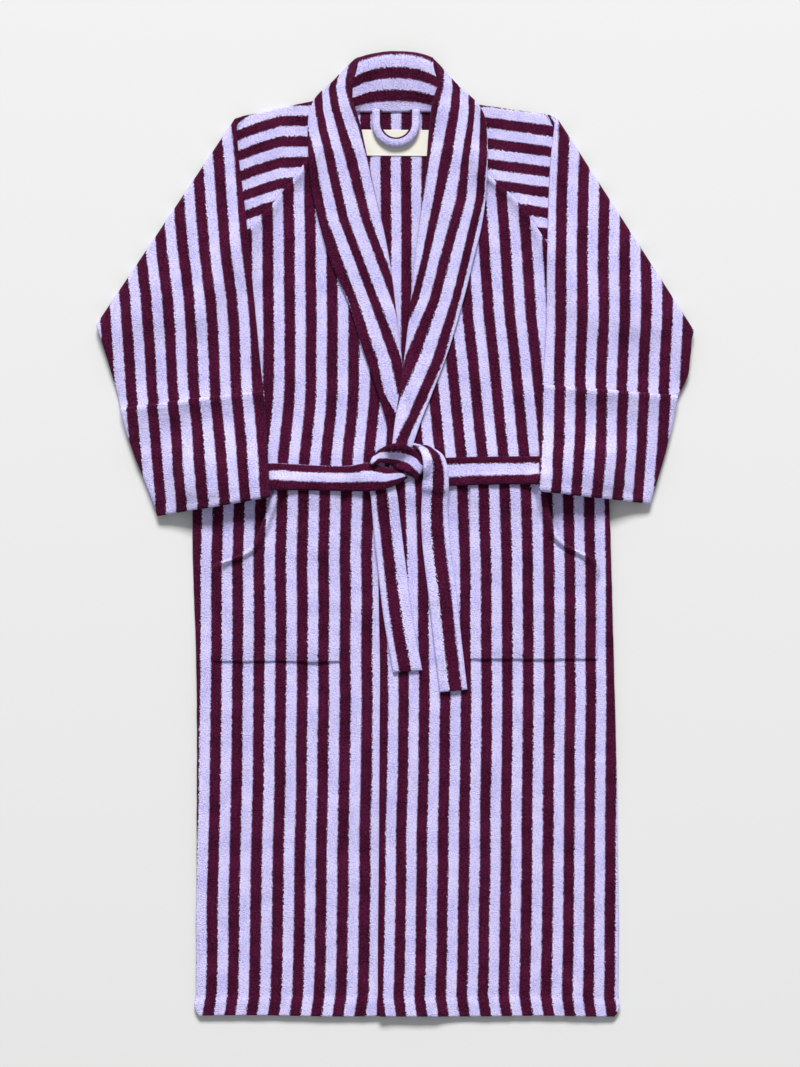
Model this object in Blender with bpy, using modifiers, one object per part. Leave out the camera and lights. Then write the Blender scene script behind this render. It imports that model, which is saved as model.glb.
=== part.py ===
"""Terry bathrobe with a shawl collar, laid on its back with the sleeves folded over the front.

Frame: metres, the robe lies on the plane z = 0, +Y runs from the hem to the collar, +X to the
wearer's left, and +Z up out of the front of the robe. Right and left are the wearer's own.

Every layer of cloth is laid down in the order in which it lies in the pile. The pile keeps the
height of its top on a raster, so each new layer rests on the ones below it with a little air.
"""

import math

import bmesh
import bpy
import numpy as np

# ---------------------------------------------------------------- driving dimensions
CLOTH = 0.0030  # one layer of terry
DOUBLE = 0.0056  # two layers pressed together, as in the collar, the belt and the cuffs
AIR = 0.0005  # air between two layers
SEAM = 0.0010  # what two pieces keep between their edges at a seam or a crease
HALF_LENGTH = 0.633  # half of the robe's length, from the hem to the top of the collar
NECK_Y = 0.555  # the seam between the back and the collar
BELT_WIDTH = 0.037
BELT_Y = {"right": 0.077, "left": 0.084}  # the middle of the front runs of the belt
BACK_RUN_Y = 0.080

# The body's outline as (x, y), from the hem to the neck, for each side.
SIDE = {
    "right": [(-0.261, -0.633), (-0.266, 0.018), (-0.253, 0.288), (-0.191, 0.397), (-0.120, 0.480), (-0.098, 0.505)],
    "left": [(0.293, -0.633), (0.282, 0.018), (0.259, 0.284), (0.197, 0.393), (0.125, 0.468), (0.101, 0.499)],
}
BACK_TOP = {"right": (-0.078, NECK_Y), "left": (0.082, NECK_Y)}
# The front edges, from the hem up under the belt and along the V under the collar.
FRONT_EDGE = {
    "right": [(0.051, -0.633), (0.043, 0.071), (0.005, 0.209), (-0.012, 0.328), (-0.048, 0.505)],
    "left": [(-0.020, -0.633), (-0.016, 0.040), (0.002, 0.124), (0.020, 0.262), (0.040, 0.426), (0.050, 0.499)],
}
# Each sleeve: the shoulder at the neck and at the crease, the low end of the crease, and the
# inner and outer ends of the cuff's seam and of its open end, after the sleeve is folded over.
SLEEVE = {
    "right": {
        "neck": (-0.104, 0.570), "shoulder": (-0.209, 0.547), "elbow": (-0.392, 0.275),
        "seam": ((-0.172, 0.186), (-0.359, 0.163)), "end": ((-0.163, 0.049), (-0.311, 0.024)),
    },
    "left": {
        "neck": (0.108, 0.564), "shoulder": (0.211, 0.549), "elbow": (0.392, 0.268),
        "seam": ((0.192, 0.192), (0.370, 0.180)), "end": ((0.189, 0.057), (0.336, 0.041)),
    },
}
# The collar's bands as stations from the neck to the waist: inner (x, y), outer (x, y).
COLLAR = {
    "right": [
        ((-0.056, 0.612), (-0.070, 0.612)), ((-0.054, 0.571), (-0.100, 0.574)),
        ((-0.050, 0.545), (-0.113, 0.538)), ((-0.041, 0.505), (-0.113, 0.500)),
        ((-0.020, 0.420), (-0.104, 0.420)), ((-0.004, 0.328), (-0.072, 0.328)),
        ((0.008, 0.240), (-0.043, 0.240)), ((0.013, 0.170), (-0.018, 0.170)),
        ((0.012, 0.121), (-0.008, 0.121)),
    ],
    "left": [
        ((0.058, 0.612), (0.071, 0.612)), ((0.054, 0.571), (0.101, 0.574)),
        ((0.046, 0.540), (0.117, 0.540)), ((0.043, 0.500), (0.121, 0.495)),
        ((0.034, 0.426), (0.118, 0.426)), ((0.022, 0.340), (0.099, 0.340)),
        ((0.012, 0.248), (0.072, 0.248)), ((0.004, 0.170), (0.044, 0.170)),
        ((-0.001, 0.121), (0.023, 0.121)),
    ],
}
# The patch pockets, as (outer x, y) up the scooped side that the hand goes in at.
POCKET_PUFF = 0.0065  # how far the middle of a pocket, or of a sleeve, stands off the layer below
SLEEVE_PUFF = 0.0070
POCKET_INNER = {"right": -0.072, "left": 0.099}
POCKET_OUTER = {
    "right": [(-0.238, -0.167), (-0.238, -0.046), (-0.217, -0.041), (-0.197, -0.034), (-0.183, -0.014),
              (-0.172, 0.018), (-0.162, 0.050)],
    "left": [(0.266, -0.164), (0.266, -0.036), (0.250, -0.030), (0.234, -0.025), (0.218, -0.016),
             (0.206, 0.018), (0.199, 0.050)],
}
# The belt's tails as (x, y) down their middle.
TAIL = {
    "right": [(-0.014, 0.055), (-0.007, -0.025), (0.003, -0.103), (0.016, -0.182)],
    "left": [(0.052, 0.055), (0.050, -0.006), (0.059, -0.083), (0.071, -0.160), (0.077, -0.207)],
}
KNOT_CENTRE = (0.021, 0.0865)
KNOT_SIZE = (0.100, 0.058, 0.016)
LOOP_MIDDLE_X = 0.0013  # the hanging loop
LOOP_RADIUS = 0.027
LOOP_LEG_TOP = 0.548
LOOP_BEND_Y = 0.540
LOOP_THICKNESS = 0.0085
LABEL = ((-0.046, 0.497), (0.050, 0.532))
LABEL_THICKNESS = 0.0008
BELT_LOOP_X = {"right": -0.244, "left": 0.258}
BELT_LOOP_WIDTH = 0.012
BELT_LOOP_LENGTH = 0.070

MAROON = (0.065, 0.008, 0.028, 1.0)
LAVENDER = (0.54, 0.50, 0.85, 1.0)
CREAM = (0.83, 0.80, 0.74, 1.0)


# ---------------------------------------------------------------- scene and materials
def clear_scene():
    for obj in list(bpy.data.objects):
        bpy.data.objects.remove(obj)


def new_collection():
    collection = bpy.data.collections.new("bathrobe")
    bpy.context.scene.collection.children.link(collection)
    return collection


def material(name, colour, roughness=0.95):
    made = bpy.data.materials.new(name)
    made.use_nodes = True
    shader = made.node_tree.nodes["Principled BSDF"]
    shader.inputs["Base Color"].default_value = colour
    shader.inputs["Roughness"].default_value = roughness
    shader.inputs["Metallic"].default_value = 0.0
    return made


# ---------------------------------------------------------------- the pile of cloth
class Pile:
    """The height of the top of everything laid down so far, on a raster of the floor."""

    CELL = 0.003
    REACH = 0.70

    def __init__(self):
        cells = int(2 * self.REACH / self.CELL)
        self.top = np.zeros((cells, cells))
        self.laid = []

    def cells(self, points):
        index = ((points[..., :2] + self.REACH) / self.CELL).astype(int)
        return index[..., 0], index[..., 1]

    def under(self, points):
        return float(self.top[self.cells(points)].max())

    def add(self, points):
        np.maximum.at(self.top, self.cells(points), points[..., 2])

    def settle(self):
        """Adds the sheets laid since the last call, so that those of one layer lie side by side.

        A sheet is known by its lower side, and either way of cutting a face in triangles counts.
        """
        for rows, thickness in self.laid:
            for _, (a, b, c, d) in faces_of(rows):
                for face in ((a, b, c, c), (a, c, d, d), (a, b, d, d), (b, c, d, d)):
                    self.add(spread_over(face) + (0, 0, thickness * 1.03))
        self.laid = []


def spread_over(corners, step=0.0015):
    """Points spread over a four-cornered face, close enough to meet every cell of the raster."""
    a, b, c, d = (np.array(corner, float) for corner in corners)
    across = max(np.linalg.norm(b - a), np.linalg.norm(c - d))
    along = max(np.linalg.norm(d - a), np.linalg.norm(c - b))
    u = np.linspace(0, 1, int(across / step) + 2)[:, None, None]
    v = np.linspace(0, 1, int(along / step) + 2)[None, :, None]
    return (a * (1 - u) + b * u) * (1 - v) + (d * (1 - u) + c * u) * v


def faces_of(rows):
    """The four corners of each face of a grid of points, with their places in the grid."""
    for i in range(len(rows) - 1):
        for j in range(len(rows[0]) - 1):
            places = ((i, j), (i, j + 1), (i + 1, j + 1), (i + 1, j))
            yield places, [rows[p][q] for p, q in places]


def rest_on(pile, rows, least=0.0):
    """Heights for a grid of (x, y) points, so that no face dips into what lies under it."""
    flat = np.array([[(x, y, 0.0) for x, y in row] for row in rows])
    heights = np.zeros(flat.shape[:2])
    for places, corners in faces_of(flat):
        support = pile.under(spread_over(corners))
        for place in places:
            heights[place] = max(heights[place], support)
    flat[..., 2] = np.maximum(np.where(heights > 0, heights + AIR, 0.0), least)
    return flat


# ---------------------------------------------------------------- shapes
def between(a, b, share):
    return tuple(p + (q - p) * share for p, q in zip(a, b))


def along(points, share):
    """The point at this share of the way up a line of (x, y) points."""
    points = np.array(points)
    reach = np.concatenate([[0], np.cumsum(np.linalg.norm(np.diff(points, axis=0), axis=1))])
    return tuple(np.interp(share * reach[-1], reach, points[:, k]) for k in range(2))


def x_at(points, y):
    ys = [point[1] for point in points]
    xs = [point[0] for point in points]
    return float(np.interp(y, ys, xs))


def shell(collection, name, rows, thickness, finish, offset=1.0):
    """A grid of points as an open surface, made solid by Solidify."""
    mesh = bpy.data.meshes.new(name)
    sheet = bmesh.new()
    bmesh.ops.create_grid(sheet, x_segments=len(rows[0]) - 1, y_segments=len(rows) - 1, size=1.0)
    sheet.verts.ensure_lookup_table()
    for vert, point in zip(sheet.verts, (point for row in rows for point in row)):
        vert.co = point
    sheet.to_mesh(mesh)
    sheet.free()
    obj = bpy.data.objects.new(name, mesh)
    collection.objects.link(obj)
    solidify = obj.modifiers.new("cloth", "SOLIDIFY")
    solidify.thickness = thickness
    solidify.offset = offset
    mesh.materials.append(finish)
    return obj


def lay(pile, collection, name, stations, cols, thickness, finish, least=0.0, puff=None):
    """Lays a sheet on the pile: each station is a pair of (x, y) ends, -X end first.

    puff gives how far each row is raised at its middle, where the sheet stands off the next one.
    """
    rows = [[between(a, b, j / cols) for j in range(cols + 1)] for a, b in stations]
    points = rest_on(pile, rows, least)
    if puff:
        arch = np.sin(np.linspace(0, math.pi, cols + 1))
        points[..., 2] += np.outer(puff, arch)
    pile.laid.append((points, thickness))
    return shell(collection, name, points, thickness, finish)


def divided(stations, count):
    """Stations again, with each stretch between two of them divided in count."""
    made = [stations[0]]
    for (a, b), (c, d) in zip(stations, stations[1:]):
        made += [(between(a, c, k / count), between(b, d, k / count)) for k in range(1, count + 1)]
    return made


# ---------------------------------------------------------------- the body
def body_rows(low, high):
    """Heights in y for the rows of a body panel: close together where it crosses the belt."""
    belt_rows = [BACK_RUN_Y + step for step in (-0.052, -0.024, 0.024, 0.052)]
    rows = [low, low / 2, -0.14, *belt_rows, 0.20, 0.288, 0.34, 0.397, 0.44, 0.480]
    return [y for y in rows if low <= y < high] + [high]


def add_back(pile, collection, finish):
    edges = {side: SIDE[side][:4] + [BACK_TOP[side]] for side in SIDE}
    stations = [
        ((x_at(edges["right"], y), y), (x_at(edges["left"], y), y))
        for y in body_rows(-HALF_LENGTH, NECK_Y)
    ]
    lay(pile, collection, "back_panel", stations, 6, CLOTH, finish)


def add_front(pile, collection, side, finish):
    stations = []
    for y in body_rows(-HALF_LENGTH, SIDE[side][-1][1]):
        ends = [(x_at(SIDE[side], y), y), (x_at(FRONT_EDGE[side], y), y)]
        stations.append(ends if side == "right" else ends[::-1])
    lay(pile, collection, f"front_panel_{side}", stations, 4, CLOTH, finish)


def add_pocket(pile, collection, side, finish):
    corners = POCKET_OUTER[side]
    rows = [corners[0], between(*corners[:2], 0.2), between(*corners[:2], 0.6), *corners[1:]]
    stations = []
    for outer in rows:
        ends = [outer, (POCKET_INNER[side], outer[1])]
        stations.append(ends if side == "right" else ends[::-1])
    puff = [0.0] + [POCKET_PUFF] * (len(rows) - 1)
    lay(pile, collection, f"pocket_{side}", stations, 4, CLOTH, finish, puff=puff)


# ---------------------------------------------------------------- sleeves
def inset(point, side, amount):
    """The point moved towards the middle of the robe."""
    return (point[0] + (amount if side == "right" else -amount), point[1])


def ordered(ends, side):
    """The ends of a station with the -X end first."""
    outer, inner = ends
    return (outer, inner) if side == "right" else (inner, outer)


def add_sleeve_upper(pile, collection, side, layer, finish):
    """The half of the sleeve between the raglan seam and the crease, from underarm to shoulder."""
    piece = SLEEVE[side]
    raglan = SIDE[side][2:4] + ([BACK_TOP[side]] if layer == "back" else SIDE[side][4:] + [piece["neck"]])
    count = 4
    stations = []
    for k in range(count + 1):
        share = k / count
        crease = inset(between(piece["elbow"], piece["shoulder"], share), side, SEAM)
        stations.append(ordered((crease, inset(raglan_point(raglan, share), side, -SEAM)), side))
    lay(pile, collection, f"sleeve_{side}_{layer}_upper", stations, 3, CLOTH, finish)


def raglan_point(raglan, share):
    """The seam's own corners fall on whole stations, so that both pieces have the same edge."""
    place = share * (len(raglan) - 1)
    low = min(int(place), len(raglan) - 2)
    return between(raglan[low], raglan[low + 1], place - low)


def add_sleeve_lower(pile, collection, side, layer, finish):
    """The half of the sleeve between the crease and the cuff, folded over the front."""
    piece = SLEEVE[side]
    inner, outer = piece["seam"]
    count = 6
    stations = []
    for k in range(count + 1):
        share = k / count
        ends = (between(piece["elbow"], outer, share), between(piece["shoulder"], inner, share))
        inward = SEAM + 0.0006 * (1 - share)
        stations.append(ordered((inset(ends[0], side, inward), inset(ends[1], side, inward)), side))
    stations[-1] = tuple((x, y + SEAM) for x, y in stations[-1])
    puff = [SLEEVE_PUFF * (1 - k / count) if layer == "back" else 0.0 for k in range(count + 1)]
    lay(pile, collection, f"sleeve_{side}_{layer}_lower", stations[::-1], 4, CLOTH, finish, puff=puff)


def add_cuff(pile, collection, side, layer, finish):
    piece = SLEEVE[side]
    stations = []
    for k in range(4):
        share = k / 3
        ends = [between(start, end, share) for start, end in zip(piece["seam"][::-1], piece["end"][::-1])]
        stations.append(ordered(ends, side))
    puff = [SLEEVE_PUFF if layer == "back" else 0.0] * 4
    lay(pile, collection, f"cuff_{side}_{layer}", stations[::-1], 4, DOUBLE, finish, puff=puff)


# ---------------------------------------------------------------- collar
def add_collar_back(collection, finish):
    """Fall, roll and stand behind the neck, as one band folded over on itself."""
    half_width = 0.0455
    flare = 1.8
    roll_radius = 0.0055
    columns = 6
    arc = [math.radians(angle) for angle in range(-90, 91, 30)]
    rows = []
    for k in range(columns + 1):
        x = LOOP_MIDDLE_X + half_width * (2 * k / columns - 1)
        crown = HALF_LENGTH - DOUBLE / 2 - roll_radius - 4.4 * x * x
        fall_edge, stand_edge = NECK_Y + 0.012, NECK_Y + 0.004
        low, high = DOUBLE / 2, DOUBLE / 2 + 2 * roll_radius
        path = [(fall_edge, low), ((fall_edge + crown) / 2, low)]
        path += [(crown + roll_radius * math.cos(a), low + roll_radius * (1 + math.sin(a))) for a in arc]
        path += [((stand_edge + crown) / 2, high), (stand_edge, high)]
        spread = x - LOOP_MIDDLE_X
        rows.append([(x + spread * flare * (y - fall_edge), y, z) for y, z in path])
    return shell(collection, "collar_back", rows, DOUBLE, finish, offset=0.0)


def add_collar_band(pile, collection, side, finish):
    stations = []
    for inner, outer in COLLAR[side][::-1]:
        stations.append(ordered((outer, inner), side))
    lay(pile, collection, f"collar_band_{side}", stations, 2, DOUBLE, finish, least=2 * (CLOTH + AIR))


# ---------------------------------------------------------------- belt
def add_back_run(pile, collection, finish):
    ends = [(x_at(SIDE[side], BACK_RUN_Y), BACK_RUN_Y) for side in ("right", "left")]
    half = BELT_WIDTH / 2
    stations = [tuple((x, y + shift) for x, y in ends) for shift in (-half, 0.0, half)]
    lay(pile, collection, "belt_back_run", stations, 4, DOUBLE, finish)


def add_front_run(pile, collection, side, finish):
    """From beside the knot along the front, then down round the side of the robe to the floor."""
    out = -1 if side == "right" else 1
    middle = BELT_Y[side]
    half = BELT_WIDTH / 2
    near_knot = KNOT_CENTRE[0] + out * (KNOT_SIZE[0] / 2 + 0.002)
    edge = x_at(SIDE[side], BACK_RUN_Y)
    xs = np.linspace(near_knot, edge, 6)
    flat = [[(x, middle - half), (x, middle + half)] for x in xs]
    if out < 0:
        flat = flat[::-1]
    top = rest_on(pile, flat)[:, :, 2].max()
    turn = edge + out * 0.012
    path = [(x, top) for x in xs] + [(edge + out * 0.005, top), (turn, top - 0.006), (turn, 0.0)]
    rows = [[(x, middle + shift, z) for x, z in path] for shift in (-half, 0.0, half)]
    pile.laid.append((rows, DOUBLE))
    shell(collection, f"belt_front_{side}", rows, DOUBLE, finish, offset=float(out))


def add_knot(pile, collection, finish):
    x, y = KNOT_CENTRE
    width, length, height = KNOT_SIZE
    footprint = [(x + sx * width / 2, y + sy * length / 2, 0) for sx, sy in ((-1, -1), (1, -1), (1, 1), (-1, 1))]
    bottom = pile.under(spread_over(footprint)) + AIR
    bpy.ops.mesh.primitive_cube_add(size=1.0, location=(x, y, bottom + height / 2))
    knot = bpy.context.object
    knot.name = "belt_knot"
    knot.scale = KNOT_SIZE
    bpy.ops.object.transform_apply(location=False, rotation=False, scale=True)
    for owner in list(knot.users_collection):
        owner.objects.unlink(knot)
    collection.objects.link(knot)
    rounded = knot.modifiers.new("round", "BEVEL")
    rounded.width = height * 0.4
    rounded.segments = 3
    knot.data.materials.append(finish)
    pile.add(spread_over(footprint) + (0, 0, bottom + height))


def add_tail(pile, collection, side, finish):
    half = BELT_WIDTH / 2
    stations = [((x - half, y), (x + half, y)) for x, y in TAIL[side][::-1]]
    lay(pile, collection, f"belt_tail_{side}", divided(stations, 2), 2, DOUBLE, finish)


def add_belt_loop(pile, collection, side, finish):
    """A strap sewn to the side seam above and below the belt, which passes under it."""
    x = BELT_LOOP_X[side]
    half = BELT_LOOP_WIDTH / 2
    ys = [BACK_RUN_Y + share * BELT_LOOP_LENGTH for share in (-0.5, -0.38, -0.3, 0.34, 0.42, 0.5)]
    stations = [((x - half, y), (x + half, y)) for y in ys]
    lay(pile, collection, f"belt_loop_{side}", stations, 1, CLOTH, finish)


# ---------------------------------------------------------------- neck
def add_label(pile, collection, finish):
    (left, low), (right, high) = LABEL
    stations = [((left, y), (right, y)) for y in (low, high)]
    lay(pile, collection, "neck_label", stations, 1, LABEL_THICKNESS, finish)


def add_hanging_loop(pile, collection, finish):
    """A U of rolled cloth, on the inside of the neck."""
    arc = [math.radians(angle) for angle in range(180, 361, 15)]
    points = [(LOOP_MIDDLE_X + LOOP_RADIUS * math.cos(a), LOOP_BEND_Y + LOOP_RADIUS * math.sin(a)) for a in arc]
    points = [(points[0][0], LOOP_LEG_TOP), *points, (points[-1][0], LOOP_LEG_TOP)]
    height = pile.under(np.array([(x, y, 0) for x, y in points])) + AIR + LOOP_THICKNESS / 2
    curve = bpy.data.curves.new("hanging_loop", "CURVE")
    curve.dimensions = "3D"
    curve.bevel_depth = LOOP_THICKNESS / 2
    curve.bevel_resolution = 2
    curve.use_fill_caps = True
    spline = curve.splines.new("POLY")
    spline.points.add(len(points) - 1)
    for point, (x, y) in zip(spline.points, points):
        point.co = (x, y, height, 1)
    loop = bpy.data.objects.new("hanging_loop", curve)
    collection.objects.link(loop)
    curve.materials.append(finish)


def main():
    clear_scene()
    collection = new_collection()
    maroon = material("maroon_terry", MAROON)
    lavender = material("lavender_terry", LAVENDER)
    cream = material("woven_label", CREAM, roughness=0.8)
    pile = Pile()

    add_collar_back(collection, lavender)
    add_back_run(pile, collection, maroon)
    pile.settle()
    add_back(pile, collection, lavender)
    for side in SIDE:
        add_sleeve_upper(pile, collection, side, "back", lavender)
    pile.settle()
    add_label(pile, collection, cream)
    pile.settle()
    add_hanging_loop(pile, collection, lavender)
    add_front(pile, collection, "right", lavender)
    for side in SIDE:
        add_sleeve_upper(pile, collection, side, "front", lavender)
    pile.settle()
    add_front(pile, collection, "left", lavender)
    pile.settle()
    for side in SIDE:
        add_pocket(pile, collection, side, lavender)
    pile.settle()
    for side in ("right", "left"):
        add_collar_band(pile, collection, side, maroon)
        pile.settle()
    for side in SIDE:
        add_front_run(pile, collection, side, maroon)
    pile.settle()
    add_knot(pile, collection, maroon)
    for side in SIDE:
        add_tail(pile, collection, side, maroon)
        add_belt_loop(pile, collection, side, lavender)
        pile.settle()
    for layer in ("front", "back"):
        for side in SIDE:
            add_sleeve_lower(pile, collection, side, layer, lavender)
            add_cuff(pile, collection, side, layer, lavender)
        pile.settle()


main()
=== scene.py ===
"""A striped terry bathrobe with a shawl collar, laid on its back, tied, its sleeves folded over.

Lengths are in metres. Right and left are the wearer's own: right is at -X, the hem is at -Y.
"""

import math

import bmesh
import bpy
import numpy as np
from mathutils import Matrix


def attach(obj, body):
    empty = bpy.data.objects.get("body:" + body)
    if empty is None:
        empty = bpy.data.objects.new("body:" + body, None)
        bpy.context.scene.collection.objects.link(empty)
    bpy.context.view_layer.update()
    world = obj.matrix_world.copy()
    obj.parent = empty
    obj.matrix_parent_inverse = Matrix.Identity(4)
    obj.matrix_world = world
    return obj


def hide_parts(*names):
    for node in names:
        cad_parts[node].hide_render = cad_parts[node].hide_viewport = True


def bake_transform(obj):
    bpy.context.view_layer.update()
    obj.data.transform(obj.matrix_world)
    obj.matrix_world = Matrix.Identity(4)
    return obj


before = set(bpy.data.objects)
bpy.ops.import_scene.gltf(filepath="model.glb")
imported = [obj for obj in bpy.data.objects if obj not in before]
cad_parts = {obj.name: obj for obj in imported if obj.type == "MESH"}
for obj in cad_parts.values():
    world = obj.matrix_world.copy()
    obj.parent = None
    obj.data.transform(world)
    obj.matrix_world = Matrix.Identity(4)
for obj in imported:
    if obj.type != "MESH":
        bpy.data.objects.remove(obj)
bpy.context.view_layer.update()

# ---------------------------------------------------------------- camera
# A camera on a stand straight above the robe, with its top towards the collar.
CAMERA_HEIGHT = 3.5
VIEW_LENGTH = 1.404

camera = bpy.data.cameras.new("camera")
camera.sensor_width = 36.0
camera.lens = camera.sensor_width * CAMERA_HEIGHT / VIEW_LENGTH
camera_object = bpy.data.objects.new("camera", camera)
camera_object.location = (0.0066, 0.0007, CAMERA_HEIGHT)
bpy.context.collection.objects.link(camera_object)
bpy.context.scene.camera = camera_object
bpy.context.scene.view_settings.view_transform = "Standard"

# ---------------------------------------------------------------- floor and light
# A plain pale floor. A wide soft light stands beyond the collar, so shadows fall to the hem.
FLOOR_COLOUR = (0.735, 0.747, 0.742, 1.0)

bpy.ops.object.select_all(action="DESELECT")
bpy.ops.mesh.primitive_plane_add(size=12.0, location=(0.0, 0.0, -0.0006))
floor = bpy.context.object
floor.name = "floor"
floor_paint = bpy.data.materials.new("floor_paper")
floor_paint.use_nodes = True
paper = floor_paint.node_tree.nodes["Principled BSDF"]
paper.inputs["Base Color"].default_value = FLOOR_COLOUR
paper.inputs["Roughness"].default_value = 0.9
paper.inputs["Specular IOR Level"].default_value = 0.1
floor.data.materials.append(floor_paint)

world = bpy.data.worlds.new("studio")
world.use_nodes = True
world.node_tree.nodes["Background"].inputs["Color"].default_value = (0.97, 0.98, 1.0, 1.0)
world.node_tree.nodes["Background"].inputs["Strength"].default_value = 0.35
bpy.context.scene.world = world


def soft_light(name, place, aim, size, watts, colour):
    """A wide light at a place, turned towards what it lights."""
    light = bpy.data.lights.new(name, "AREA")
    light.shape = "RECTANGLE"
    light.size, light.size_y = size
    light.energy = watts
    light.color = colour
    lamp = bpy.data.objects.new(name, light)
    direction = np.array(aim, float) - np.array(place, float)
    lamp.location = place
    lamp.rotation_euler = (
        math.atan2(math.hypot(direction[0], direction[1]), -direction[2]),
        0.0,
        math.atan2(direction[1], direction[0]) - math.pi / 2,
    )
    bpy.context.collection.objects.link(lamp)


soft_light("window", (0.0, 14.0, 12.0), (0.0, 0.0, 0.0), (6.6, 4.6), 4250.0, (1.0, 0.985, 0.97))

# ---------------------------------------------------------------- back panel
# One piece of terry from the neck to the hem, with its stripes lengthwise. It lies flat on the
# floor, and rises over the belt's back run. Its side edges meet the fronts at the side seams.
CELL = 0.002  # of the raster that keeps the top of the pile
REACH = 0.72
AIR = 0.0003  # between two layers
TERRY = 0.0030  # one layer of terry
STEP = 0.0042  # between the points of a sheet

pile_top = np.zeros((int(2 * REACH / CELL), int(2 * REACH / CELL)))


def cells(x, y):
    """The raster's cells that hold these points."""
    return (
        np.clip(((x + REACH) / CELL).astype(int), 1, pile_top.shape[0] - 2),
        np.clip(((y + REACH) / CELL).astype(int), 1, pile_top.shape[1] - 2),
    )


def pile_under(x, y):
    """The top of the pile at and right beside each point."""
    i, j = cells(x, y)
    return np.max([pile_top[i + a, j + b] for a in (-1, 0, 1) for b in (-1, 0, 1)], axis=0)


def finer(values, times=4):
    """A grid of values with more points between its own."""
    for axis in (0, 1):
        count = values.shape[axis]
        places = np.linspace(0, count - 1, (count - 1) * times + 1)
        low = np.minimum(places.astype(int), count - 2)
        share = (places - low).reshape([-1 if k == axis else 1 for k in (0, 1)])
        values = np.take(values, low, axis) * (1 - share) + np.take(values, low + 1, axis) * share
    return values


def heap(points):
    """Puts the top of a sheet on the pile."""
    x, y, z = (finer(points[..., k]) for k in range(3))
    np.maximum.at(pile_top, cells(x, y), z)


def smooth_rows(stations, places):
    """Rows at these places, from 0 to 1, on a smooth line through the given ones.

    A station is a list of numbers. The first four are the x and y of its two ends.
    """
    stations = np.array(stations, float)
    middles = (stations[:, :2] + stations[:, 2:4]) / 2
    reach = np.concatenate([[0], np.cumsum(np.linalg.norm(np.diff(middles, axis=0), axis=1))])
    reach /= reach[-1]
    slopes = np.gradient(stations, reach, axis=0, edge_order=1)
    k = np.clip(np.searchsorted(reach, places, side="right") - 1, 0, len(reach) - 2)
    width = (reach[k + 1] - reach[k])[:, None]
    t = (np.array(places)[:, None] - reach[k][:, None]) / width
    return (
        stations[k] * (1 + 2 * t) * (1 - t) ** 2
        + slopes[k] * width * t * (1 - t) ** 2
        + stations[k + 1] * t * t * (3 - 2 * t)
        + slopes[k + 1] * width * t * t * (t - 1)
    )


def spaced(length, step=STEP):
    """Places from 0 to 1 along a length, closer together at its ends, where an edge is round."""
    lip = np.array([0.0, 0.0004, 0.0012, 0.0026])
    count = max(2, round((length - 2 * lip[-1]) / step))
    inner = np.linspace(lip[-1], length - lip[-1], count + 1)
    return np.concatenate([lip[:-1], inner, (length - lip[:-1])[::-1]]) / length


def patch(stations, step=STEP):
    """A grid of x and y between two smooth sides, and what else each station says, spread."""
    stations = np.array(stations, float)
    ends = stations[:, 2:4] - stations[:, :2]
    middles = (stations[:, :2] + stations[:, 2:4]) / 2
    length = np.linalg.norm(np.diff(middles, axis=0), axis=1).sum()
    rows = smooth_rows(stations, spaced(length, step))
    across = spaced(np.linalg.norm(ends, axis=1).mean(), step)[None, :]
    x = rows[:, 0:1] * (1 - across) + rows[:, 2:3] * across
    y = rows[:, 1:2] * (1 - across) + rows[:, 3:4] * across
    return x, y, rows[:, 4:], across


def drape(x, y, thick, stiff=30, least=0.0):
    """The middle height of a sheet that lies on the pile and bridges what a stiff cloth would."""
    support = np.maximum(pile_under(x, y) + AIR, least)
    height = support.copy()
    for _ in range(stiff):
        wide = np.pad(height, 1, mode="edge")
        mean = (wide[2:, 1:-1] + wide[:-2, 1:-1] + wide[1:-1, 2:] + wide[1:-1, :-2]) / 4
        height = np.maximum(support, mean)
    return height + thick / 2


def waves(x, y, lengths, seed):
    """Gentle unevenness between -1 and 1, from waves of these lengths that cross each other."""
    pick = np.random.default_rng(seed)
    total = np.zeros_like(x)
    for length in lengths:
        for _ in range(5):
            turn, phase = pick.uniform(0, math.tau, 2)
            total += np.sin((x * math.cos(turn) + y * math.sin(turn)) * math.tau / length + phase)
    return total / (5 * len(lengths)) * 1.8


def stripe_drift(x, y):
    """How far, in stripe pairs, the stripes of a soft cloth wander from their lines."""
    return 0.024 * waves(x, y, (0.21, 0.12), 7)


def lip(distance, radius):
    """From 0 at an edge to 1 at a radius from it, as a quarter circle rises."""
    inner = np.clip(distance / radius, 0, 1)
    return np.sqrt(1 - (1 - inner) ** 2)


def sides_of(points):
    """The unit normals of a grid of points."""
    along = np.gradient(points, axis=0)
    across = np.gradient(points, axis=1)
    normal = np.cross(across, along)
    return normal / np.maximum(np.linalg.norm(normal, axis=2, keepdims=True), 1e-12)


def from_edges(points):
    """How far each point of a grid is from the grid's first and last row and column."""
    along = np.linalg.norm(np.diff(points, axis=0), axis=2)
    across = np.linalg.norm(np.diff(points, axis=1), axis=2)
    v = np.concatenate([np.zeros((1, points.shape[1])), np.cumsum(along, axis=0)])
    u = np.concatenate([np.zeros((points.shape[0], 1)), np.cumsum(across, axis=1)], axis=1)
    return {"first": v, "last": v[-1:] - v, "west": u, "east": u[:, -1:] - u}


def join_doubles(shaped):
    """Closes a sheet where its round edges bring both faces to one line."""
    bmesh.ops.remove_doubles(shaped, verts=shaped.verts[:], dist=0.000004)
    bmesh.ops.dissolve_degenerate(shaped, edges=shaped.edges[:], dist=0.000002)


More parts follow.
